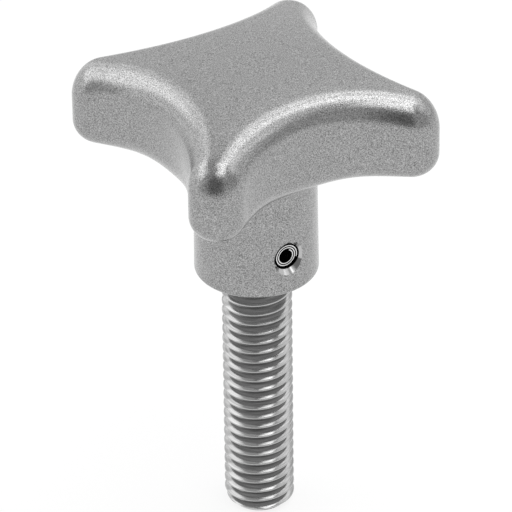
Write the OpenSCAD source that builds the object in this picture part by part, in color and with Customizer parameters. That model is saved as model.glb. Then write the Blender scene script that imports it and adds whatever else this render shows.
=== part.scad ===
// Four-arm palm grip with a threaded stud.
// The stud is screwed into the hub from below, and a coiled spring pin crosses hub and stud to lock them.
// All sizes are in millimetres. The origin is the centre of the hub's lower face, where the stud leaves it,
// +Z points up through the head, and the four arms lie along the X and Y axes.

/* [Head] */
// Width over two opposite arm tips
head_d = 41; // [36:0.5:60]
// Radius of an arm's tip, seen from above
tip_r = 3.1; // [2.6:0.05:4.5]
// Distance from the axis to the waist between two arms
waist_r = 11.35; // [10.5:0.05:12.5]
// Height of the head's crown above the hub's lower face
head_top_z = 25.85; // [24:0.05:34]
// Height of the arms' flat underside above the hub's lower face
arm_under_z = 14.45; // [13:0.05:16]
// How much lower the crowned top lies at the tips than in the middle
crown_drop = 2.5; // [0.5:0.05:3]
// How late the crown falls away: 2 is a parabola, and more keeps the middle flatter
crown_power = 2.4; // [2:0.1:3]
// Rounding of the head's upper edge at the tips
top_round_tip = 3.4; // [1.5:0.05:4]
// Rounding of the head's upper edge at the waists
top_round_waist = 2.75; // [1.5:0.05:4]
// Rounding of the head's lower edge at the tips
under_round_tip = 2.55; // [1:0.05:3.5]
// Rounding of the head's lower edge on the flanks, midway between tip and waist
under_round_flank = 3.25; // [1.5:0.05:3.7]
// Rounding of the head's lower edge at the waists
under_round_waist = 2.95; // [1.5:0.05:3.7]

/* [Hub] */
// Diameter of the hub near its lower face
hub_d = 13.9; // [13:0.1:15]
// Taper of the hub's wall, for drawing it from the mould, in degrees
hub_draft = 0.6; // [0:0.1:1.5]
// Rounding of the hub's lower edge
hub_round = 0.5; // [0.2:0.1:1.5]
// Rounding in the corner between the hub and the arms
hub_root_round = 0.6; // [0.3:0.1:0.9]

/* [Threaded stud] */
// Outer diameter of the stud's thread
stud_d = 8; // [6:0.5:9]
// Rise of the thread in one turn
thread_pitch = 1.25; // [0.75:0.05:1.5]
// Length of stud below the hub
stud_len = 31; // [16:1:60]
// Length of stud screwed into the hub
stud_hold = 11; // [8:0.5:13]
// Depth of the hole beyond the stud's inner end
hole_spare = 1; // [0.5:0.1:2]
// Room round the stud at the countersunk mouth of its hole, on the radius
hole_mouth = 0.25; // [0.15:0.05:0.5]
// Chamfer on each end of the stud
stud_chamfer = 0.9; // [0.4:0.1:1.2]
// Play between the stud and its hole, on the radius
stud_play = 0.02; // [0.01:0.01:0.05]

/* [Spring pin] */
// Outer diameter of the coiled pin, as its hole holds it: a 3 mm pin takes holes of 3 to 3.1 mm
pin_d = 3.1; // [2:0.1:3.5]
// Thickness of the pin's rolled sheet
pin_sheet = 0.25; // [0.15:0.01:0.3]
// Gap between one turn of the sheet and the next
pin_lap_gap = 0.03; // [0.02:0.01:0.05]
// Height of the pin's axis above the hub's lower face
pin_z = 4.6; // [3:0.1:6]
// Depth of the pin's ends below the hub's wall
pin_recess = 0.6; // [0.3:0.05:2]
// Radial size of the bevel on the pin's ends
pin_bevel = 0.15; // [0.03:0.01:0.2]
// Length of the bevel along the pin
pin_bevel_len = 0.6; // [0.1:0.05:1]
// Play between the pin and its hole, on the radius
pin_play = 0.01; // [0.01:0.01:0.05]
// Countersink at each end of the pin's hole, on the radius
pin_mouth = 0.55; // [0.2:0.05:0.9]

/* [Hidden] */
$fn = 96;

casting_grey = [0.64, 0.64, 0.63];
thread_grey = [0.55, 0.55, 0.55];
spring_grey = [0.72, 0.72, 0.71];

// The arms lie on the axes, so waists and the pin lie on the diagonals.
diagonal = 45;

// Seen from above, a convex arc round each tip runs smoothly into a concave arc across each waist.
tip_c = head_d / 2 - tip_r;
waist_arc_r = (tip_c ^ 2 + waist_r ^ 2 - sqrt(2) * tip_c * waist_r - tip_r ^ 2)
    / (sqrt(2) * tip_c + 2 * tip_r - 2 * waist_r);
waist_c = (waist_r + waist_arc_r) * [cos(diagonal), sin(diagonal)];
tip_half_angle = atan2(waist_c.y, waist_c.x - tip_c);

// The tip's roundings leave a small flat inside the tip's arc.
tip_flat_r = 0.3;
top_inset_tip = min(top_round_tip, tip_r - tip_flat_r);
under_inset_tip = min(under_round_tip, tip_r - tip_flat_r);
// How much more the lower edge is rounded on the flanks than halfway from tip to waist
under_swell = under_round_flank - (under_round_tip + under_round_waist) / 2;

// Fineness of the head: steps round one tip, along one waist, over one rounded edge and across the crown.
tip_steps = 14;
waist_steps = 12;
round_steps = 7;
crown_steps = 4;
// Size of the round middle that the crown's rings close in on
crown_core_r = waist_r / 3;

// The thread is drawn by its outer diameter where it shows, and by its pitch diameter inside the hub.
pitch_d_share = 0.6495;
stud_hold_d = stud_d - pitch_d_share * thread_pitch;
stud_hole_d = stud_hold_d + 2 * stud_play;
stud_hole_depth = stud_hold + hole_spare;
mouth_r = stud_d / 2 + hole_mouth;
drill_point = 59;

// The hub's wall runs on into the head, past the arms' underside.
hub_top_z = arm_under_z + under_round_waist;
hub_top_r = hub_d / 2 - hub_top_z * tan(hub_draft);

pin_hole_d = pin_d + 2 * pin_play;
pin_mouth_r = pin_hole_d / 2 + pin_mouth;
pin_len = hub_d - 2 * pin_recess;
pin_turns = 2.25;
pin_seam_angle = -20;
// Extra length on cutters, so that they pass right through what they cut.
over = 1;

function mix(a, b, share) = a + (b - a) * share;

function quarter_turn(p, k) = k == 0 ? p : quarter_turn([-p.y, p.x], k - 1);

// A station is a point of the head's plan, its inward direction and its share of tip, from 0 to 1.
function tip_station(angle) =
    let (out = [cos(angle), sin(angle)])
    [[tip_c, 0] + tip_r * out, -out, 1];

function waist_station(share) =
    let (angle = 180 + tip_half_angle + share * (90 - 2 * tip_half_angle), inward = [cos(angle), sin(angle)])
    [waist_c + waist_arc_r * inward, inward, (1 + cos(360 * share)) / 2];

quarter = [
    for (i = [0:tip_steps]) tip_station(tip_half_angle * (2 * i / tip_steps - 1)),
    for (i = [1:waist_steps - 1]) waist_station(i / waist_steps)
];
stations = [
    for (k = [0:3])
        for (s = quarter) [quarter_turn(s[0], k), quarter_turn(s[1], k), s[2]]
];
ring_size = len(stations);

function crown_z(p) = head_top_z - crown_drop * (norm(p) / (head_d / 2)) ^ crown_power;

// Ring of the rounded lower edge: turn 0 lies on the flat underside, 90 on the upright wall.
function under_ring(turn) = [
    for (s = stations)
        let (
            swell = 4 * under_swell * s[2] * (1 - s[2]),
            inset = (mix(under_round_waist, under_inset_tip, s[2]) + swell) * (1 - sin(turn)),
            rise = (mix(under_round_waist, under_round_tip, s[2]) + swell) * (1 - cos(turn)),
            p = s[0] + s[1] * inset
        )
        [p.x, p.y, arm_under_z + rise]
];

// Ring of the rounded upper edge: turn 0 lies on the upright wall, 90 on the crown.
function top_ring(turn) = [
    for (s = stations)
        let (
            inset = mix(top_round_waist, top_inset_tip, s[2]) * (1 - cos(turn)),
            fall = mix(top_round_waist, top_round_tip, s[2]) * (1 - sin(turn)),
            p = s[0] + s[1] * inset
        )
        [p.x, p.y, crown_z(p) - fall]
];

// Ring of the crown itself: share 0 is the upper edge's last ring, and 1 is a circle round the middle.
function crown_ring(share) =
    let (rim = top_ring(90))
    [
        for (j = [0:ring_size - 1])
            let (
                angle = 360 * (j - tip_steps / 2) / ring_size,
                p = mix([rim[j].x, rim[j].y], crown_core_r * [cos(angle), sin(angle)], share)
            )
            [p.x, p.y, crown_z(p)]
    ];

// Head of four arms, lofted from the underside's edge up to the crown
module head() {
    rings = [
        for (i = [0:round_steps]) under_ring(90 * i / round_steps),
        for (i = [0:round_steps]) top_ring(90 * i / round_steps),
        for (i = [1:crown_steps]) crown_ring(i / crown_steps)
    ];
    ends = [[0, 0, arm_under_z], [0, 0, crown_z([0, 0])]];
    last = len(rings) - 1;
    bottom_end = len(rings) * ring_size;
    top_end = bottom_end + 1;
    polyhedron(
        points = concat([for (r = rings) each r], ends),
        faces = [
            for (j = [0:ring_size - 1])
                let (n = (j + 1) % ring_size)
                each concat(
                    [[bottom_end, j, n], [top_end, last * ring_size + n, last * ring_size + j]],
                    [
                        for (i = [0:last - 1])
                            let (low = i * ring_size, high = low + ring_size)
                            each [[low + j, high + j, high + n], [low + j, high + n, low + n]]
                    ]
                )
        ],
        convexity = 6
    );
}

// Half section of the hub, with its lower edge rounded and its wall flared into the arms' underside
module hub_section() {
    // The flare meets the underside at a slight angle.
    flare_end = 12;
    flare_z = arm_under_z - hub_root_round * cos(flare_end);
    wall_r = hub_d / 2 - flare_z * tan(hub_draft);
    polygon([
        [0, 0],
        [hub_d / 2 - hub_round, 0],
        [hub_d / 2, hub_round],
        [hub_top_r, hub_top_z],
        [0, hub_top_z]
    ]);
    translate([hub_d / 2 - hub_round, hub_round])
        circle(hub_round);
    difference() {
        translate([wall_r - hub_root_round, flare_z])
            square([2 * hub_root_round, hub_root_round]);
        translate([wall_r + hub_root_round, flare_z])
            circle(hub_root_round);
    }
}

// Blind hole for the stud, with a countersunk mouth and a drilled point
module stud_hole() {
    translate([0, 0, -over])
        cylinder(d = stud_hole_d, h = stud_hole_depth + over);
    translate([0, 0, -over])
        cylinder(r1 = mouth_r + over, r2 = 0, h = mouth_r + over);
    translate([0, 0, stud_hole_depth])
        cylinder(d1 = stud_hole_d, d2 = 0, h = stud_hole_d / 2 / tan(drill_point));
}

// Places its children with +Z along the pin, towards the corner between the +X and -Y arms
module along_pin() {
    translate([0, 0, pin_z])
        rotate([90, 0, diagonal])
            children();
}

module pin_hole() {
    along_pin()
        cylinder(d = pin_hole_d, h = hub_d + 2 * over, center = true);
}

// Countersinks where the pin's hole leaves the hub's wall
module pin_hole_mouths() {
    along_pin()
        for (side = [0, 180])
            rotate([side, 0, 0])
                translate([0, 0, hub_d / 2 - pin_mouth_r])
                    cylinder(r1 = 0, r2 = pin_mouth_r + over, h = pin_mouth_r + over);
}

module palm_grip() {
    color(casting_grey)
        difference() {
            union() {
                head();
                rotate_extrude()
                    hub_section();
            }
            stud_hole();
            pin_hole();
            pin_hole_mouths();
        }
}

module threaded_stud() {
    color(thread_grey)
        difference() {
            union() {
                translate([0, 0, -stud_len])
                    cylinder(d1 = stud_d - 2 * stud_chamfer, d2 = stud_d, h = stud_chamfer);
                translate([0, 0, stud_chamfer - stud_len])
                    cylinder(d = stud_d, h = stud_len - stud_chamfer);
                cylinder(d = stud_hold_d, h = stud_hold - stud_chamfer);
                translate([0, 0, stud_hold - stud_chamfer])
                    cylinder(d1 = stud_hold_d, d2 = stud_hold_d - 2 * stud_chamfer, h = stud_chamfer);
            }
            pin_hole();
        }
}

// Arc of rolled sheet that sweeps from 0 to the given angle, at most half a turn
module sheet_arc(outer_r, sweep) {
    intersection() {
        difference() {
            circle(outer_r);
            circle(outer_r - pin_sheet);
        }
        translate([-pin_d, 0])
            square([2 * pin_d, pin_d]);
        if (sweep < 180)
            rotate(sweep - 180)
                translate([-pin_d, 0])
                    square([2 * pin_d, pin_d]);
    }
}

// End view of the coil: half turns about two centres, each smaller by half a lap than the one before
module coil_section() {
    half_lap = (pin_sheet + pin_lap_gap) / 2;
    half_turns = 2 * pin_turns;
    for (i = [0:ceil(half_turns) - 1])
        translate([i % 2 == 0 ? 0 : -half_lap, 0])
            rotate(i % 2 == 0 ? 0 : 180)
                sheet_arc(pin_d / 2 - i * half_lap, 180 * min(1, half_turns - i));
}

// Space inside the pin's two bevelled ends
module pin_envelope() {
    end_r = pin_d / 2 - pin_bevel;
    clear_r = pin_d / 2 + over;
    clear_len = pin_bevel_len * (clear_r - end_r) / pin_bevel;
    rotate_extrude()
        polygon([
            [0, -pin_len / 2],
            [end_r, -pin_len / 2],
            [clear_r, clear_len - pin_len / 2],
            [clear_r, pin_len / 2 - clear_len],
            [end_r, pin_len / 2],
            [0, pin_len / 2]
        ]);
}

module coiled_spring_pin() {
    color(spring_grey)
        along_pin()
            intersection() {
                linear_extrude(pin_len + 2 * over, center = true)
                    rotate(pin_seam_angle)
                        coil_section();
                pin_envelope();
            }
}

palm_grip();
threaded_stud();
coiled_spring_pin();
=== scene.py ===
"""Palm grip knob in a plain studio: a cast grip of four arms, its threaded stud and the coiled pin.

Sizes are in millimetres, and a mesh is scaled to metres when it is finished. The origin is the centre of the
hub's lower face, +Z points up through the head, and the four arms lie along the X and Y axes.
"""

import logging
import math
from dataclasses import dataclass, field
from enum import Enum
from typing import Any

import bmesh
import bpy
from bmesh.types import BMEdge, BMesh, BMFace, BMVert
from mathutils import Matrix, Vector


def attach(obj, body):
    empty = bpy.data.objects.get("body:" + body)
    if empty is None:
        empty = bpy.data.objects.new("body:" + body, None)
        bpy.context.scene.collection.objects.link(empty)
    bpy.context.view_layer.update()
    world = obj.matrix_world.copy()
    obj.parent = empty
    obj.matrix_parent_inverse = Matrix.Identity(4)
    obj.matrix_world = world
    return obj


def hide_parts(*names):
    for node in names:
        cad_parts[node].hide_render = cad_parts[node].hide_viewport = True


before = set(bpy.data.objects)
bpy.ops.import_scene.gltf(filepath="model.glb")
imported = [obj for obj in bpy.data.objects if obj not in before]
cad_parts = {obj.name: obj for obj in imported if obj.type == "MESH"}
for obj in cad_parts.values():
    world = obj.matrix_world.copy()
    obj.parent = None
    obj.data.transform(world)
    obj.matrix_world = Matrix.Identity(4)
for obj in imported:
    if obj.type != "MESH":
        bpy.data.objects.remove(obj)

MM = 0.001
BODY = "root"
# Distances in millimetres within which two vertices are one, and within which one lies on a cut.
MERGE = 0.0005
ON_CUT = 0.00001
# Diameter of the hub at its lower face, and length of the stud below it.
HUB_D = 13.9
STUD_LEN = 31.0
UP = Vector((0.0, 0.0, 1.0))
ORIGIN = Vector((0.0, 0.0, 0.0))
# Bearing of the photograph's camera, in degrees to the right of the front arm.
VIEW_BEARING = 13.536
# The mix node's sockets for colours: the share, the first and second colour, and the mixed colour.
MIX_SHARE, MIX_FIRST, MIX_SECOND, MIXED = 0, 6, 7, 2
MIX_COLOURS = {"data_type": "RGBA"}
log = logging.getLogger("palm_grip_knob")


class Part(Enum):
    """The knob's three solids, each with its name and its material slot."""

    GRIP = ("palm_grip", "grip_casting")
    STUD = ("threaded_stud", "stud_steel")
    PIN = ("coiled_spring_pin", "pin_steel")

    @property
    def node(self) -> str:
        """Name of the solid."""
        return self.value[0]

    @property
    def slot(self) -> str:
        """Name of the material slot."""
        return self.value[1]


def linear(hex_colour: str) -> tuple[float, float, float, float]:
    """Turns an sRGB hex colour into linear light.

    Args:
        hex_colour: Six hex digits after a hash sign.

    Returns:
        Red, green, blue and alpha in linear light.
    """
    channels = [int(hex_colour[i:i + 2], 16) / 255 for i in (1, 3, 5)]
    red, green, blue = [c / 12.92 if c <= 0.04045 else ((c + 0.055) / 1.055) ** 2.4 for c in channels]
    return red, green, blue, 1.0


def per_mm(size: float) -> float:
    """Scale of a pattern whose features are this many millimetres wide."""
    return 1 / (size * MM)


def towards(bearing: float, elevation: float) -> Vector:
    """Finds a direction from the knob.

    Args:
        bearing: Degrees to the right of the camera's side.
        elevation: Degrees above the horizon.

    Returns:
        The direction, of length 1.
    """
    turn, rise = math.radians(VIEW_BEARING + bearing), math.radians(elevation)
    level = Vector((math.sin(turn), -math.cos(turn), 0))
    return level * math.cos(rise) + UP * math.sin(rise)


def mix(a: Any, b: Any, share: float) -> Any:
    """Value between a and b, at this share of the way."""
    return a + (b - a) * share


def add_node(
    tree: bpy.types.NodeTree,
    kind: str,
    inputs: dict[str | int, Any] | None = None,
    settings: dict[str, Any] | None = None,
) -> bpy.types.Node:
    """Adds a node with its settings and links.

    Args:
        tree: Node tree that takes the node.
        kind: Type of the node.
        inputs: Value of each input socket, or the socket that feeds it.
        settings: Properties of the node itself.

    Returns:
        The new node.
    """
    node = tree.nodes.new(kind)
    for name, value in (settings or {}).items():
        setattr(node, name, value)
    for name, value in (inputs or {}).items():
        if isinstance(value, bpy.types.NodeSocket):
            tree.links.new(value, node.inputs[name])
        else:
            node.inputs[name].default_value = value
    return node


@dataclass(frozen=True)
class SteelFinish:
    """A bare steel surface, whose fine marks tilt and shade it and whose wide clouds vary its polish."""

    name: str
    light: str
    dark: str
    roughness: float
    # Width and depth of a mark, in millimetres.
    mark: float
    mark_depth: float
    # How many times longer a mark is than wide, along X, Y and Z.
    stretch: tuple[float, float, float] = (1.0, 1.0, 1.0)
    # Octaves of finer marks within a mark, and how strong each is against the last.
    mark_detail: float = 2.0
    mark_falloff: float = 0.6
    # Heights of the marks at which the dark and the light colour are full.
    dark_height: float = 0.3
    light_height: float = 0.7
    # Width of a cloud, in millimetres, its octaves, and what it adds to the roughness or takes from it.
    cloud: float = 4.0
    cloud_detail: float = 3.0
    polish_spread: float = 0.04

    def tone(
        self, tree: bpy.types.NodeTree, place: bpy.types.NodeSocket, marks: bpy.types.NodeSocket
    ) -> bpy.types.NodeSocket:
        """Shades the surface by its marks.

        Args:
            tree: The material's node tree.
            place: Object coordinates.
            marks: Height of the marks, from 0 to 1.

        Returns:
            The surface's colour.
        """
        ramp = add_node(tree, "ShaderNodeValToRGB", {"Fac": marks})
        low, high = ramp.color_ramp.elements
        low.position, low.color = self.dark_height, linear(self.dark)
        high.position, high.color = self.light_height, linear(self.light)
        return ramp.outputs["Color"]

    def material(self) -> bpy.types.Material:
        """Makes the material.

        Returns:
            The material.
        """
        material = bpy.data.materials.new(self.name)
        material.use_nodes = True
        tree = material.node_tree
        tree.nodes.clear()
        place = add_node(tree, "ShaderNodeTexCoord").outputs["Object"]
        drawn = add_node(
            tree, "ShaderNodeMapping", {"Vector": place, "Scale": tuple(1 / s for s in self.stretch)}
        ).outputs["Vector"]
        marks = add_node(
            tree,
            "ShaderNodeTexNoise",
            {
                "Vector": drawn,
                "Scale": per_mm(self.mark),
                "Detail": self.mark_detail,
                "Roughness": self.mark_falloff,
            },
        ).outputs["Fac"]
        clouds = add_node(
            tree,
            "ShaderNodeTexNoise",
            {"Vector": place, "Scale": per_mm(self.cloud), "Detail": self.cloud_detail},
        ).outputs["Fac"]
        polish = add_node(
            tree,
            "ShaderNodeMapRange",
            {
                "Value": clouds,
                "To Min": self.roughness - self.polish_spread,
                "To Max": self.roughness + self.polish_spread,
            },
        ).outputs["Result"]
        relief = add_node(
            tree, "ShaderNodeBump", {"Height": marks, "Distance": self.mark_depth * MM, "Strength": 1.0}
        ).outputs["Normal"]
        shader = add_node(
            tree,
            "ShaderNodeBsdfPrincipled",
            {
                "Base Color": self.tone(tree, place, marks),
                "Metallic": 1.0,
                "Roughness": polish,
                "Normal": relief,
            },
        ).outputs["BSDF"]
        add_node(tree, "ShaderNodeOutputMaterial", {"Surface": shader})
        return material


@dataclass(frozen=True)
class ThreadFinishAndPaintedLight(SteelFinish):
    """A steel thread with painted shade in its roots and a painted highlight on its crests."""

    # Colours of the painted shade in the roots and of the painted highlight on the crests.
    root: str = "#6A6A6A"
    crest_highlight: str = "#BEBEBE"
    # Radii in millimetres between which the painted root shade fades into the flank, and the flank into the
    # painted crest highlight.
    root_span: tuple[float, float] = (3.18, 3.34)
    crest_span: tuple[float, float] = (3.87, 3.94)

    def tone(
        self, tree: bpy.types.NodeTree, place: bpy.types.NodeSocket, marks: bpy.types.NodeSocket
    ) -> bpy.types.NodeSocket:
        """Shades it by its marks, and by the distance from the stud's axis paints root shade and a crest
        highlight.

        Args:
            tree: The material's node tree.
            place: Object coordinates.
            marks: Height of the marks, from 0 to 1.

        Returns:
            The surface's colour.
        """
        flank = super().tone(tree, place, marks)
        level = add_node(
            tree, "ShaderNodeVectorMath", {0: place, 1: (1.0, 1.0, 0.0)}, {"operation": "MULTIPLY"}
        ).outputs["Vector"]
        radius = add_node(tree, "ShaderNodeVectorMath", {0: level}, {"operation": "LENGTH"}).outputs["Value"]
        past_root, at_crest = [
            add_node(
                tree, "ShaderNodeMapRange", {"Value": radius, "From Min": inner * MM, "From Max": outer * MM}
            ).outputs["Result"]
            for inner, outer in (self.root_span, self.crest_span)
        ]
        # Painted shade in the roots, then a painted highlight on the crests.
        root_shaded = add_node(
            tree,
            "ShaderNodeMix",
            {MIX_SHARE: past_root, MIX_FIRST: linear(self.root), MIX_SECOND: flank},
            MIX_COLOURS,
        ).outputs[MIXED]
        return add_node(
            tree,
            "ShaderNodeMix",
            {MIX_SHARE: at_crest, MIX_FIRST: root_shaded, MIX_SECOND: linear(self.crest_highlight)},
            MIX_COLOURS,
        ).outputs[MIXED]


# Cast stainless steel, bead-blasted: a matt grey skin whose dents break each reflection into grain.
# Bead dents are about 0.1 mm wide, and are drawn at 0.12 mm so that they show.
BLASTED_CASTING = SteelFinish("blasted_cast_stainless", "#C2C2C2", "#5E5E5E", 0.18, 0.12, 0.014)
# Stainless steel cut by a drill: smooth enough to mirror the floor and the lamps round the pin's end.
DRILLED_CASTING = SteelFinish("drilled_cast_stainless", "#C4C4C4", "#B0B0B0", 0.12, 0.05, 0.0004)
# Rolled stainless thread: painted root shade, painted crest highlight and faint lines along the turns.
# Die lines are a few hundredths of a millimetre apart, and are drawn at 0.12 mm so that they show.
ROLLED_THREAD = ThreadFinishAndPaintedLight("rolled_stainless_painted_light", "#B2B2B2", "#909090", 0.18, 0.12, 0.002, (40.0, 40.0, 1.0))
# Sheared edges of cold-rolled spring sheet, painted near white as a highlight: white lines that trace the
# coil.
SHEARED_SHEET_PAINTED_HIGHLIGHT = SteelFinish("sheared_spring_steel_painted_highlight", "#F2F2F2", "#DCDCDC", 0.20, 0.08, 0.001)
# Sides of the spring sheet, painted near black as the shade in the gaps between laps: black lines between
# the bright ones.
SHEET_SIDES_PAINTED_SHADE = SteelFinish("spring_steel_painted_gap_shade", "#3A3A3A", "#2A2A2A", 0.35, 0.08, 0.001)


def walk(edges: list[BMEdge]) -> list[BMVert]:
    """Puts the vertices of a closed loop of edges in order.

    Args:
        edges: The loop's edges, in any order.

    Returns:
        The loop's vertices, once round.
    """
    loop = set(edges)
    ahead = edges[0]
    ring = [ahead.verts[0]]
    while (vert := ahead.other_vert(ring[-1])) is not ring[0]:
        ring.append(vert)
        ahead = next(e for e in vert.link_edges if e in loop and e is not ahead)
    return ring


def sweep(bm: BMesh, vert: BMVert, centre: Vector, angle: float, steps: int) -> BMVert:
    """Draws an arc of edges from a vertex round an upright axis.

    Args:
        bm: Mesh that takes the arc.
        vert: Vertex that the arc starts from.
        centre: Centre of the arc.
        angle: Angle of the arc, in radians.
        steps: Number of edges.

    Returns:
        The arc's last vertex.
    """
    made = bmesh.ops.spin(bm, geom=[vert], cent=centre, axis=UP, angle=angle, steps=steps)
    return next(v for v in made["geom_last"] if isinstance(v, BMVert))


class Skin:
    """A skin that grows from a closed loop, ring by ring, as its last edges are extruded."""

    def __init__(self, bm: BMesh, loop: list[BMVert]) -> None:
        """Starts the skin at a loop.

        Args:
            bm: Mesh that holds the loop.
            loop: The loop's vertices, in order.
        """
        self.bm = bm
        self.ring = loop

    def grow(self, places: list[Vector]) -> None:
        """Extrudes the last ring and moves each new vertex to its place.

        Args:
            places: A place for each vertex of the ring.
        """
        edges = [self.bm.edges.get(pair) for pair in zip(self.ring, self.ring[1:] + self.ring[:1])]
        geom = bmesh.ops.extrude_edge_only(self.bm, edges=edges)["geom"]
        made = {v for v in geom if isinstance(v, BMVert)}
        self.ring = [next(o for e in v.link_edges if (o := e.other_vert(v)) in made) for v in self.ring]
        for vert, place in zip(self.ring, places):
            vert.co = place

    def close(self, place: Vector) -> None:
        """Draws a last ring together at one point."""
        self.grow([place] * len(self.ring))
        bmesh.ops.pointmerge(self.bm, verts=self.ring, merge_co=place)


def clean(bm: BMesh) -> None:
    """Merges doubles, drops faces without area and turns every face outwards.

    Args:
        bm: Mesh that is cleaned.
    """
    bmesh.ops.remove_doubles(bm, verts=bm.verts, dist=MERGE)
    bmesh.ops.dissolve_degenerate(bm, edges=bm.edges, dist=MERGE)
    bmesh.ops.recalc_face_normals(bm, faces=bm.faces)


def put_in_scene(bm: BMesh, name: str) -> bpy.types.Object:
    """Turns a mesh in millimetres into an object, with its doubles merged and its faces outwards.

    Args:
        bm: The mesh, which is freed.
        name: Name of the object.

    Returns:
        The object, still in millimetres.
    """
    clean(bm)
    mesh = bpy.data.meshes.new(name)
    bm.to_mesh(mesh)
    bm.free()
    piece = bpy.data.objects.new(name, mesh)
    bpy.context.scene.collection.objects.link(piece)
    return piece


def carve(piece: bpy.types.Object, cutter: bpy.types.Object) -> None:
    """Cuts one object's shape out of another and removes the cutter.

    Args:
        piece: Object that is cut.
        cutter: Object whose shape is taken away.
    """
    cut = piece.modifiers.new("cut", "BOOLEAN")
    cut.operation, cut.solver, cut.object = "DIFFERENCE", "EXACT", cutter
    whole = piece.data
    piece.data = bpy.data.meshes.new_from_object(piece.evaluated_get(bpy.context.evaluated_depsgraph_get()))
    piece.modifiers.clear()
    bpy.data.meshes.remove(whole)
    bpy.data.meshes.remove(cutter.data)
    bm = bmesh.new()
    bm.from_mesh(piece.data)
    clean(bm)
    bm.to_mesh(piece.data)
    bm.free()


def complete(piece: bpy.types.Object, part: Part, material: bpy.types.Material, crease: float) -> None:
    """Scales a piece to metres, smooths it, dresses it and puts it on the knob in place of its solid.

    Args:
        piece: The piece, in millimetres.
        part: The solid that it stands for.
        material: Its material.
        crease: Angle in degrees past which an edge stays sharp.
    """
    mesh = piece.data
    mesh.transform(Matrix.Scale(MM, 4))
    mesh.shade_smooth()
    mesh.set_sharp_from_angle(angle=math.radians(crease))
    mesh.materials.clear()
    mesh.materials.append(material)
    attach(piece, BODY)
    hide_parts(part.node)


@dataclass(frozen=True)
class Station:
    """A point of the head's plan, the direction inwards from it, and its share of tip, from 0 to 1."""

    point: Vector
    inward: Vector
    tip_share: float


@dataclass(frozen=True)
class PinHole:
    """Cross hole for the pin through the hub and the stud, countersunk where it leaves the hub."""

    diameter: float = 3.12
    # Height above the hub's lower face, and degrees from the -Y arm towards the +X arm.
    height: float = 4.6
    bearing: float = 45.0
    hub_r: float = HUB_D / 2
    # Depth of the countersinks, and what the cutter stands out of the hub.
    mouth: float = 0.55
    over: float = 1.0
    segments: int = 96

    @property
    def mouth_r(self) -> float:
        """Radius of the countersink at the hub's wall."""
        return self.diameter / 2 + self.mouth

    def place(self) -> Matrix:
        """Lays +Z along the hole, outwards.

        Returns:
            The transform.
        """
        return (
            Matrix.Translation((0, 0, self.height))
            @ Matrix.Rotation(math.radians(self.bearing), 4, "Z")
            @ Matrix.Rotation(math.radians(90), 4, "X")
        )

    def cutter(self) -> bpy.types.Object:
        """Turns the round bar with flared ends that is cut away.

        Returns:
            The bar, in millimetres.
        """
        bm = bmesh.new()
        half = self.hub_r + self.over
        bore_half = self.hub_r - self.mouth
        bore_r, end_r = self.diameter / 2, self.mouth_r + self.over
        lower = [(0, -half), (end_r, -half), (bore_r, -bore_half)]
        section = lower + [(r, -z) for r, z in reversed(lower)]
        verts = [bm.verts.new((r, 0, z)) for r, z in section]
        edges = [bm.edges.new(pair) for pair in zip(verts, verts[1:])]
        bmesh.ops.spin(
            bm,
            geom=verts + edges,
            cent=ORIGIN,
            axis=UP,
            angle=2 * math.pi,
            steps=self.segments,
            use_merge=True,
        )
        bm.transform(self.place())
        return put_in_scene(bm, "pin_hole_cutter")


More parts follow.
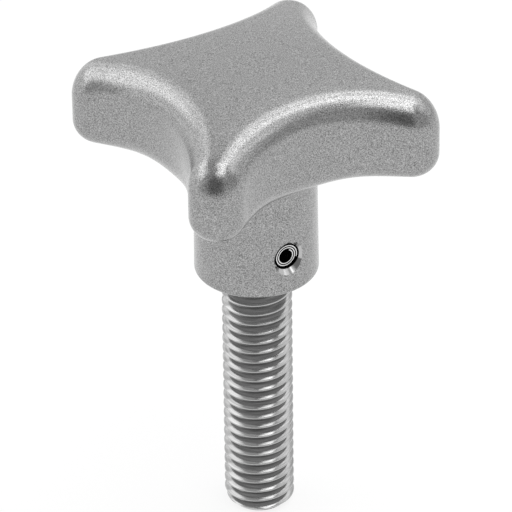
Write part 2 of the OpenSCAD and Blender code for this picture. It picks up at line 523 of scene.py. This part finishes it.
@dataclass
class PalmGrip:
    """The casting: a crowned head of four arms on a round hub, with the holes for stud and pin."""

    # Plan: width over the tips, radius of a tip's arc, and the waist's distance from the axis.
    head_d: float = 41.0
    tip_r: float = 3.1
    waist_r: float = 11.35
    # Heights of the crown and of the arms' flat underside.
    head_top_z: float = 25.85
    arm_under_z: float = 14.45
    # How far the crown falls towards the tips, and the power of the distance that it falls with.
    crown_drop: float = 2.5
    crown_power: float = 2.4
    # Share of the waist's distance within which the crown's rings turn round.
    crown_core: float = 1 / 3
    # Roundings of the upper and lower edges, at the tips, the flanks and the waists.
    top_round_tip: float = 3.4
    top_round_waist: float = 2.75
    under_round_tip: float = 2.55
    under_round_flank: float = 3.25
    under_round_waist: float = 2.95
    # What the roundings leave of a tip's arc.
    tip_flat_r: float = 0.3
    # Hub: diameter at its lower face, draft in degrees, and roundings of its lower edge and under the arms.
    hub_d: float = HUB_D
    hub_draft: float = 0.6
    hub_round: float = 0.5
    hub_root_round: float = 0.6
    # The stud's hole: radii of its mouth and wall, depth, and half the angle of its point in degrees.
    mouth_r: float = 4.25
    stud_hole_r: float = 3.614
    stud_hole_depth: float = 12.0
    drill_point: float = 59.0
    # Steps of each arc or stretch.
    tip_steps: int = 24
    waist_steps: int = 40
    round_steps: int = 14
    crown_steps: int = 12
    hub_steps: int = 24
    fillet_steps: int = 8
    hole_steps: int = 12
    # Angle in degrees to the arms' underside at which the fillet under it starts.
    fillet_start: float = 12.0
    # Angle in degrees past which an edge stays sharp.
    crease: float = 35.0
    # A face of the hub's wall looks outwards by at least this cosine, and one of the pin's hole by less.
    wall_cosine: float = 0.9
    pin_hole: PinHole = field(default_factory=PinHole)
    finish: SteelFinish = BLASTED_CASTING
    drilled: SteelFinish = DRILLED_CASTING

    def __post_init__(self) -> None:
        """Works out the plan: an arc round each tip runs smoothly into a hollow arc across each waist."""
        tip_c = self.head_d / 2 - self.tip_r
        root2 = math.sqrt(2)
        self.waist_arc_r = (tip_c**2 + self.waist_r**2 - root2 * tip_c * self.waist_r - self.tip_r**2) / (
            root2 * tip_c + 2 * self.tip_r - 2 * self.waist_r
        )
        self.tip_centre = Vector((tip_c, 0, 0))
        self.diagonal = Vector((1, 1, 0)).normalized()
        self.waist_centre = self.diagonal * (self.waist_r + self.waist_arc_r)
        span = self.waist_centre - self.tip_centre
        self.tip_half_angle = math.atan2(span.y, span.x)
        self.waist_angle = math.radians(90) - 2 * self.tip_half_angle

    def quarters(self) -> list[Matrix]:
        """Turns that carry one arm to each of the four."""
        return [Matrix.Rotation(math.radians(90 * k), 3, "Z") for k in range(4)]

    def plan(self, bm: BMesh) -> list[BMVert]:
        """Draws the head's outline.

        Args:
            bm: Mesh that takes the outline.

        Returns:
            The outline's vertices, in order.
        """
        start = self.tip_centre + Matrix.Rotation(-self.tip_half_angle, 3, "Z") @ Vector((self.tip_r, 0, 0))
        last = bm.verts.new(start)
        for turn in self.quarters():
            last = sweep(bm, last, turn @ self.tip_centre, 2 * self.tip_half_angle, self.tip_steps)
            last = sweep(bm, last, turn @ self.waist_centre, self.waist_angle, self.waist_steps)
        bmesh.ops.remove_doubles(bm, verts=bm.verts, dist=MERGE)
        return walk(bm.edges[:])

    def station(self, point: Vector) -> Station:
        """Reads a point of the outline.

        Args:
            point: The point.

        Returns:
            Its station.
        """
        for turn in self.quarters():
            inward = turn @ self.tip_centre - point
            if abs(inward.length - self.tip_r) < 2 * MERGE:
                return Station(point.copy(), inward.normalized(), 1.0)
        turn = min(self.quarters(), key=lambda q: (q @ self.waist_centre - point).length)
        inward = (point - turn @ self.waist_centre).normalized()
        share = inward.angle(turn @ -self.diagonal) / abs(self.waist_angle)
        return Station(point.copy(), inward, (1 - math.cos(2 * math.pi * share)) / 2)

    def crown_z(self, point: Vector) -> float:
        """Height of the crowned top above a point of the plan."""
        return self.head_top_z - self.crown_drop * (point.xy.length / (self.head_d / 2)) ** self.crown_power

    def under_place(self, at: Station, turn: float) -> Vector:
        """Place on the rounded lower edge.

        Args:
            at: Station of the plan.
            turn: 0 on the flat underside, a quarter turn in radians on the upright wall.

        Returns:
            The place.
        """
        inset_tip = min(self.under_round_tip, self.tip_r - self.tip_flat_r)
        midway = (self.under_round_tip + self.under_round_waist) / 2
        swell = 4 * (self.under_round_flank - midway) * at.tip_share * (1 - at.tip_share)
        width = mix(self.under_round_waist, inset_tip, at.tip_share) + swell
        height = mix(self.under_round_waist, self.under_round_tip, at.tip_share) + swell
        inset, rise = width * (1 - math.sin(turn)), height * (1 - math.cos(turn))
        return at.point + at.inward * inset + UP * (self.arm_under_z + rise)

    def top_place(self, at: Station, turn: float) -> Vector:
        """Place on the rounded upper edge.

        Args:
            at: Station of the plan.
            turn: 0 on the upright wall, a quarter turn in radians on the crown.

        Returns:
            The place.
        """
        inset_tip = min(self.top_round_tip, self.tip_r - self.tip_flat_r)
        inset = mix(self.top_round_waist, inset_tip, at.tip_share) * (1 - math.cos(turn))
        fall = mix(self.top_round_waist, self.top_round_tip, at.tip_share) * (1 - math.sin(turn))
        point = at.point + at.inward * inset
        return point + UP * (self.crown_z(point) - fall)

    def crown_place(self, at: Station, share: float) -> Vector:
        """Place on the crown.

        Args:
            at: Station of the plan.
            share: 0 on the upper edge's last ring, 1 on the axis.

        Returns:
            The place.
        """
        rim = self.top_place(at, math.pi / 2)
        core = at.point.normalized() * (self.waist_r * self.crown_core)
        point = mix(Vector((rim.x, rim.y, 0)), core * (1 - share), share)
        return point + UP * self.crown_z(point)

    def hub_section(self) -> list[tuple[float, float]]:
        """Half section of the hub and of the stud's hole.

        Returns:
            Radius and height of each ring, from the arms' underside down the wall, round the lower edge and
            up the hole.
        """
        slope = math.tan(math.radians(self.hub_draft))
        fillet_start = math.radians(self.fillet_start)
        fillet_z = self.arm_under_z - self.hub_root_round * math.cos(fillet_start)
        wall_r = self.hub_d / 2 - fillet_z * slope
        rings = []
        for i in range(self.fillet_steps + 1):
            angle = mix(math.pi / 2 - fillet_start, 0, i / self.fillet_steps)
            rings.append(
                (
                    wall_r + self.hub_root_round * (1 - math.cos(angle)),
                    fillet_z + self.hub_root_round * math.sin(angle),
                )
            )
        for i in range(1, self.hub_steps):
            z = mix(fillet_z, self.hub_round, i / self.hub_steps)
            rings.append((self.hub_d / 2 - z * slope, z))
        for i in range(self.fillet_steps + 1):
            angle = math.pi / 2 * i / self.fillet_steps
            rings.append(
                (
                    self.hub_d / 2 - self.hub_round * (1 - math.cos(angle)),
                    self.hub_round * (1 - math.sin(angle)),
                )
            )
        rings.append((mix(self.hub_d / 2 - self.hub_round, self.mouth_r, 0.5), 0.0))
        rings.append((self.mouth_r, 0.0))
        for i in range(self.hole_steps + 1):
            z = mix(self.mouth_r - self.stud_hole_r, self.stud_hole_depth, i / self.hole_steps)
            rings.append((self.stud_hole_r, z))
        return rings

    def build(self) -> bpy.types.Object:
        """Models the casting from its outline, upwards to the crown and downwards round the hub.

        Returns:
            The casting, in millimetres.
        """
        bm = bmesh.new()
        outline = self.plan(bm)
        stations = [self.station(v.co) for v in outline]
        quarter = math.pi / 2
        for vert, at in zip(outline, stations):
            vert.co = self.under_place(at, quarter)
        upper, lower = Skin(bm, outline), Skin(bm, outline)
        for i in range(self.round_steps + 1):
            upper.grow([self.top_place(at, quarter * i / self.round_steps) for at in stations])
        for i in range(1, self.crown_steps):
            upper.grow([self.crown_place(at, i / self.crown_steps) for at in stations])
        upper.close(UP * self.head_top_z)
        for i in reversed(range(self.round_steps)):
            lower.grow([self.under_place(at, quarter * i / self.round_steps) for at in stations])
        for radius, z in self.hub_section():
            lower.grow([at.point.normalized() * radius + UP * z for at in stations])
        point_z = self.stud_hole_depth + self.stud_hole_r / math.tan(math.radians(self.drill_point))
        lower.close(UP * point_z)
        piece = put_in_scene(bm, "grip_casting")
        carve(piece, self.pin_hole.cutter())
        return piece

    def dress(self, piece: bpy.types.Object) -> None:
        """Gives the casting its blasted skin, its bright pin hole and its place on the knob.

        Args:
            piece: The casting, in millimetres.
        """
        complete(piece, Part.GRIP, self.finish.material(), self.crease)
        piece.data.materials.append(self.drilled.material())
        along_pin = self.pin_hole.place().inverted()
        for face in piece.data.polygons:
            near = (along_pin @ (face.center / MM)).xy.length < self.pin_hole.mouth_r
            outward = Vector((face.center.x, face.center.y, 0)).normalized()
            if near and face.normal.dot(outward) < self.wall_cosine:
                face.material_index = 1


@dataclass
class ThreadedStud:
    """The M8 stud: a rolled right-hand thread below the hub, and a plain shank inside it."""

    # Thread: radius of its crests, pitch and depth.
    crest_r: float = 3.95
    pitch: float = 1.25
    depth: float = 0.767
    # Lengths of the rounded root, of the flank and of the rounded crest, along the section.
    root_len: float = 0.20
    flank_len: float = 0.70
    crest_len: float = 0.12
    # The flank's angles to the axis at its foot and at its head, in degrees.
    flank_angles: tuple[float, float] = (66.0, 48.0)
    root_steps: int = 4
    flank_steps: int = 6
    crest_steps: int = 5
    # Length below the hub, and width of the chamfer at either end.
    length: float = STUD_LEN
    chamfer: float = 0.9
    # Bearing of the thread's start round the axis, in degrees.
    phase: float = -97.0
    # Turns that are swept beyond the length and trimmed off.
    spare_turns: int = 2
    turn_steps: int = 90
    shank_r: float = 3.594
    shank_len: float = 11.0
    # Angle in degrees past which an edge stays sharp.
    crease: float = 50.0
    pin_hole: PinHole = field(default_factory=PinHole)
    finish: SteelFinish = ROLLED_THREAD

    def section(self) -> list[tuple[float, float]]:
        """Draws one pitch of the thread: a rounded root, a slightly bulging flank and a rounded crest.

        Returns:
            Radius and height of each point, from one root over the crest to the next root.
        """
        foot, head = self.flank_angles
        half = [(0.0, 0.0)]
        for length, first, last, steps in (
            (self.root_len, 0.0, foot, self.root_steps),
            (self.flank_len, foot, head, self.flank_steps),
            (self.crest_len, head, 0.0, self.crest_steps),
        ):
            for i in range(steps):
                angle = math.radians(mix(first, last, (i + 0.5) / steps))
                r, z = half[-1]
                half.append((r + length / steps * math.sin(angle), z + length / steps * math.cos(angle)))
        rise, run = half[-1]
        root_r = self.crest_r - self.depth
        half = [(root_r + self.depth * r / rise, self.pitch / 2 * z / run) for r, z in half]
        return half + [(r, self.pitch - z) for r, z in reversed(half[:-1])]

    def thread(self, bm: BMesh) -> None:
        """Sweeps one turn of the thread and stacks its copies along the stud.

        Args:
            bm: Mesh that takes the thread.
        """
        turns = math.ceil(self.length / self.pitch) + self.spare_turns
        lead = self.pitch / self.turn_steps
        foot_z = -self.length - self.spare_turns * self.pitch
        verts = [bm.verts.new((r, 0, foot_z + z)) for r, z in self.section()]
        edges = [bm.edges.new(pair) for pair in zip(verts, verts[1:])]
        start = Matrix.Rotation(math.radians(self.phase), 3, "Z")
        bmesh.ops.rotate(bm, cent=ORIGIN, matrix=start, verts=verts)
        bmesh.ops.spin(
            bm,
            geom=verts + edges,
            cent=ORIGIN,
            axis=UP,
            dvec=UP * lead,
            angle=2 * math.pi,
            steps=self.turn_steps,
        )
        turn = bm.verts[:] + bm.edges[:] + bm.faces[:]
        for k in range(1, turns):
            copy = bmesh.ops.duplicate(bm, geom=turn)["geom"]
            verts = [v for v in copy if isinstance(v, BMVert)]
            bmesh.ops.translate(bm, vec=UP * (k * self.pitch), verts=verts)
        bmesh.ops.remove_doubles(bm, verts=bm.verts, dist=MERGE)

    def trim(self, bm: BMesh, z: float, keep_above: bool) -> list[BMVert]:
        """Cuts the thread square to its axis.

        Args:
            bm: Mesh of the thread.
            z: Height of the cut.
            keep_above: True to keep what lies above the cut.

        Returns:
            The vertices of the cut's edge, in order.
        """
        cut = bmesh.ops.bisect_plane(
            bm,
            geom=bm.verts[:] + bm.edges[:] + bm.faces[:],
            dist=ON_CUT,
            plane_co=UP * z,
            plane_no=UP,
            clear_outer=not keep_above,
            clear_inner=keep_above,
        )["geom_cut"]
        return walk([e for e in cut if isinstance(e, BMEdge)])

    def turn_chamfer(self, bm: BMesh) -> None:
        """Draws what stands out of the chamfer's cone back onto it.

        Args:
            bm: Mesh of the thread.
        """
        for vert in bm.verts:
            radius = vert.co.xy.length
            cone = self.crest_r - self.chamfer + vert.co.z + self.length
            if radius > cone:
                vert.co.xy *= cone / radius

    def build(self) -> bpy.types.Object:
        """Models the stud.

        Returns:
            The stud, in millimetres.
        """
        bm = bmesh.new()
        self.thread(bm)
        end = Skin(bm, self.trim(bm, -self.length, True))
        end.close(UP * -self.length)
        self.turn_chamfer(bm)
        shank = Skin(bm, self.trim(bm, 0.0, False))
        outward = [Vector((v.co.x, v.co.y, 0)).normalized() for v in shank.ring]
        for radius, z in (
            (self.shank_r, 0.0),
            (self.shank_r, self.shank_len - self.chamfer),
            (self.shank_r - self.chamfer, self.shank_len),
        ):
            shank.grow([o * radius + UP * z for o in outward])
        shank.close(UP * self.shank_len)
        piece = put_in_scene(bm, "stud_thread")
        carve(piece, self.pin_hole.cutter())
        return piece

    def dress(self, piece: bpy.types.Object) -> None:
        """Gives the stud its rolled surface, painted root shade and crest highlight, and its place on the
        knob.
        """
        complete(piece, Part.STUD, self.finish.material(), self.crease)


@dataclass
class CoiledSpringPin:
    """The pin: sheet rolled into two and a quarter turns, with the edges of both ends broken."""

    diameter: float = 3.1
    # Thickness of the sheet, gap between two laps, and number of half turns.
    sheet: float = 0.25
    lap_gap: float = 0.03
    half_turns: float = 4.5
    # Turn of the outer seam round the pin, in degrees.
    seam_angle: float = -20.0
    # How far the ends lie inside the hub's wall.
    recess: float = 0.6
    # Width of the broken edges.
    edge_break: float = 0.11
    break_steps: int = 4
    # Each end is squeezed to this radius, over this length.
    end_r: float = 1.40
    end_len: float = 0.6
    half_turn_steps: int = 32
    # Angle in degrees past which an edge stays sharp.
    crease: float = 50.0
    # A face of the pin's end looks along the pin by more than this cosine.
    end_cosine: float = 0.95
    pin_hole: PinHole = field(default_factory=PinHole)
    # Ends painted near white as a highlight, and sides painted near black as the shade between the laps.
    finish: SteelFinish = SHEARED_SHEET_PAINTED_HIGHLIGHT
    side: SteelFinish = SHEET_SIDES_PAINTED_SHADE

    def roll(self, bm: BMesh) -> None:
        """Rolls the coil's end view about two centres, half a turn at a time.

        Args:
            bm: Mesh that takes the coil's faces.
        """
        outer_r = self.diameter / 2
        half_lap = (self.sheet + self.lap_gap) / 2
        verts = [bm.verts.new((r, 0, 0)) for r in (outer_r, outer_r - self.sheet)]
        rim = verts + [bm.edges.new(verts)]
        for i in range(math.ceil(self.half_turns)):
            share = min(1.0, self.half_turns - i)
            rim = bmesh.ops.spin(
                bm,
                geom=rim,
                cent=(-half_lap * (i % 2), 0, 0),
                axis=UP,
                angle=math.pi * share,
                steps=round(self.half_turn_steps * share),
            )["geom_last"]

    def is_end(self, face: BMFace) -> bool:
        """Tells whether a face of the upright pin is one of its ends."""
        return abs(face.normal.z) > self.end_cosine

    def build(self) -> bpy.types.Object:
        """Models the pin by drawing its end view out to its length and breaking the edges.

        Returns:
            The pin, in millimetres.
        """
        bm = bmesh.new()
        self.roll(bm)
        length = 2 * (self.pin_hole.hub_r - self.recess)
        drawn = bmesh.ops.extrude_face_region(bm, geom=bm.faces[:], use_keep_orig=True)["geom"]
        bmesh.ops.translate(bm, vec=UP * length, verts=[v for v in drawn if isinstance(v, BMVert)])
        bmesh.ops.recalc_face_normals(bm, faces=bm.faces)
        rims = [e for e in bm.edges if sum(self.is_end(f) for f in e.link_faces) == 1]
        bmesh.ops.bevel(
            bm,
            geom=rims,
            offset=self.edge_break,
            segments=self.break_steps,
            profile=0.5,
            affect="EDGES",
            material=-1,
        )
        for z in (self.end_len, length - self.end_len):
            solid = bm.verts[:] + bm.edges[:] + bm.faces[:]
            bmesh.ops.bisect_plane(bm, geom=solid, plane_co=UP * z, plane_no=UP)
        for vert in bm.verts:
            depth = min(vert.co.z, length - vert.co.z)
            squeeze = max(0.0, 1 - depth / self.end_len) * (1 - 2 * self.end_r / self.diameter)
            vert.co.xy *= 1 - squeeze
        seam = Matrix.Rotation(math.radians(self.seam_angle), 4, "Z")
        bm.transform(self.pin_hole.place() @ seam @ Matrix.Translation(UP * (-length / 2)))
        return put_in_scene(bm, "rolled_pin")

    def dress(self, piece: bpy.types.Object) -> None:
        """Gives the pin its ends painted near white as a highlight, its sides painted near black as shade,
        and its place on the knob.

        Args:
            piece: The pin, in millimetres.
        """
        complete(piece, Part.PIN, self.finish.material(), self.crease)
        piece.data.materials.append(self.side.material())
        along = self.pin_hole.place().to_3x3() @ UP
        # The sides, seen only in the gaps between laps, take the painted shade.
        for face in piece.data.polygons:
            if abs(face.normal.dot(along)) < self.end_cosine:
                face.material_index = 1


@dataclass(frozen=True)
class StudioCamera:
    """Camera at the photograph's place: a long lens that looks down on the front arm."""

    # Height above the horizon and turn about the line of sight, in degrees.
    elevation: float = 31.895
    roll: float = 0.768
    # Distance from the origin, and shifts to the right and upwards.
    distance: float = 515.487
    across: float = -0.046
    above: float = 1.108
    # Focal length and width of the picture, in pixels.
    focal_px: float = 4636.19
    image_px: float = 512.0
    sensor: float = 36.0
    # Nearest and farthest distance that is drawn, in metres.
    clip: tuple[float, float] = (0.01, 50.0)

    def build(self) -> bpy.types.Object:
        """Places the camera and makes it the scene's own.

        Returns:
            The camera.
        """
        roll = math.radians(self.roll)
        right = towards(90, 0)
        back = towards(0, self.elevation)
        up = back.cross(right)
        place = (right * self.across + up * self.above + back * self.distance) * MM
        rolled_right = right * math.cos(roll) - up * math.sin(roll)
        rolled_up = right * math.sin(roll) + up * math.cos(roll)
        turned = Matrix((rolled_right, rolled_up, back)).transposed()
        data = bpy.data.cameras.new("studio_camera")
        data.sensor_width = self.sensor
        data.lens = self.focal_px / self.image_px * self.sensor
        data.clip_start, data.clip_end = self.clip
        camera = bpy.data.objects.new("studio_camera", data)
        camera.matrix_world = Matrix.Translation(place) @ turned.to_4x4()
        bpy.context.scene.collection.objects.link(camera)
        bpy.context.scene.camera = camera
        return camera


@dataclass(frozen=True)
class Softbox:
    """A soft rectangular lamp that faces the knob."""

    name: str
    # Degrees to the right of the camera's side, and above the horizon.
    bearing: float
    elevation: float
    # Distance from the knob, and width and height, in metres.
    distance: float
    size: tuple[float, float]
    # Brightness of its face, where 1 would show as full white.
    radiance: float

    def build(self) -> bpy.types.Object:
        """Hangs the lamp.

        Returns:
            The lamp.
        """
        place = towards(self.bearing, self.elevation) * self.distance
        data = bpy.data.lights.new(self.name, "AREA")
        data.shape = "RECTANGLE"
        data.size, data.size_y = self.size
        data.energy = self.radiance * math.pi * data.size * data.size_y
        lamp = bpy.data.objects.new(self.name, data)
        lamp.location = place
        lamp.rotation_euler = place.to_track_quat("Z", "Y").to_euler()
        lamp.visible_camera = False
        bpy.context.scene.collection.objects.link(lamp)
        return lamp


@dataclass
class Studio:
    """Plain studio: a white floor under the stud's end, soft lamps and a grey room."""

    floor_z: float = -STUD_LEN
    floor_r: float = 4000.0
    floor_segments: int = 96
    white: str = "#FFFFFF"
    # Share of its own white that the floor keeps in the shadow, so that the shadow stays light.
    floor_glow: float = 0.85
    room: str = "#CECECE"
    # The room's unlit side: its colour, and its direction as a lamp's is given.
    dark_side: str = "#868686"
    dark_bearing: float = -8.0
    dark_elevation: float = 22.0
    # Degrees from that direction within which it is all dark, and past which it has faded out.
    dark_inner: float = 20.0
    dark_outer: float = 40.0
    lamps: tuple[Softbox, ...] = (
        Softbox("top_softbox", 78, 77, 0.7, (0.40, 0.40), 1.6),
        Softbox("front_softbox", 24, 59, 0.8, (0.45, 0.26), 1.7),
        Softbox("rear_right_softbox", 130, 61, 0.7, (0.40, 0.30), 1.0),
        Softbox("rear_corner_softbox", 159, 52, 0.8, (0.30, 0.25), 0.8),
        Softbox("right_softbox", 108, 45, 0.9, (0.85, 0.45), 0.6),
        Softbox("right_low_softbox", 124, 25, 0.9, (1.15, 0.65), 0.36),
        Softbox("left_softbox", 259, 38, 0.9, (0.80, 0.56), 0.88),
        Softbox("left_wide_softbox", 246, 23, 0.9, (1.60, 0.96), 0.52),
        Softbox("rear_softbox", 187, 32, 1.1, (1.2, 1.1), 0.35),
    )

    def floor_material(self) -> bpy.types.Material:
        """Makes white paper that the camera and reflections see at full white, with a light shadow.

        Returns:
            The floor's material.
        """
        material = bpy.data.materials.new("white_paper_floor")
        material.use_nodes = True
        tree = material.node_tree
        tree.nodes.clear()
        path = add_node(tree, "ShaderNodeLightPath").outputs
        seen = path["Is Camera Ray"]
        for ray in ("Is Glossy Ray", "Is Transmission Ray"):
            seen = add_node(
                tree, "ShaderNodeMath", {0: seen, 1: path[ray]}, {"operation": "MAXIMUM"}
            ).outputs["Value"]
        share = add_node(tree, "ShaderNodeMath", {0: seen, 1: self.floor_glow}, {"operation": "MULTIPLY"})
        paper = add_node(tree, "ShaderNodeBsdfDiffuse", {"Color": linear(self.white)})
        glow = add_node(tree, "ShaderNodeEmission", {"Color": linear(self.white), "Strength": 1.0})
        surface = add_node(
            tree,
            "ShaderNodeMixShader",
            {0: share.outputs["Value"], 1: paper.outputs["BSDF"], 2: glow.outputs["Emission"]},
        )
        add_node(tree, "ShaderNodeOutputMaterial", {"Surface": surface.outputs["Shader"]})
        return material

    def lay_floor(self) -> None:
        """Lays the floor."""
        bm = bmesh.new()
        bmesh.ops.create_circle(
            bm,
            cap_ends=True,
            segments=self.floor_segments,
            radius=self.floor_r * MM,
            matrix=Matrix.Translation((0, 0, self.floor_z * MM)),
        )
        mesh = bpy.data.meshes.new("floor")
        bm.to_mesh(mesh)
        bm.free()
        mesh.materials.append(self.floor_material())
        floor = bpy.data.objects.new("floor", mesh)
        bpy.context.scene.collection.objects.link(floor)

    def room_world(self) -> bpy.types.World:
        """Makes the room's even grey, which darkens softly towards its unlit side.

        Returns:
            The world.
        """
        world = bpy.data.worlds.new("studio_room")
        world.use_nodes = True
        tree = world.node_tree
        tree.nodes.clear()
        looking = add_node(tree, "ShaderNodeTexCoord").outputs["Generated"]
        nearness = add_node(
            tree,
            "ShaderNodeVectorMath",
            {0: looking, 1: towards(self.dark_bearing, self.dark_elevation)},
            {"operation": "DOT_PRODUCT"},
        ).outputs["Value"]
        fade = add_node(
            tree,
            "ShaderNodeMapRange",
            {
                "Value": nearness,
                "From Min": math.cos(math.radians(self.dark_outer)),
                "From Max": math.cos(math.radians(self.dark_inner)),
            },
            {"interpolation_type": "SMOOTHSTEP"},
        ).outputs["Result"]
        grey = add_node(
            tree,
            "ShaderNodeMix",
            {MIX_SHARE: fade, MIX_FIRST: linear(self.room), MIX_SECOND: linear(self.dark_side)},
            MIX_COLOURS,
        ).outputs[MIXED]
        room = add_node(tree, "ShaderNodeBackground", {"Color": grey, "Strength": 1.0}).outputs["Background"]
        add_node(tree, "ShaderNodeOutputWorld", {"Surface": room})
        return world

    def build(self) -> None:
        """Lays the floor, hangs the lamps and greys the room."""
        self.lay_floor()
        for lamp in self.lamps:
            lamp.build()
        bpy.context.scene.world = self.room_world()
        bpy.context.scene.view_settings.view_transform = "Standard"


def main() -> None:
    """Builds the knob and its studio, and logs how many faces each built piece has."""
    logging.basicConfig(level=logging.INFO, format="%(name)s: %(message)s")
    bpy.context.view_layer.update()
    StudioCamera().build()
    for maker in (PalmGrip(), ThreadedStud(), CoiledSpringPin()):
        piece = maker.build()
        maker.dress(piece)
        log.info("%s has %d faces", piece.name, len(piece.data.polygons))
    Studio().build()


if __name__ == "__main__":
    main()
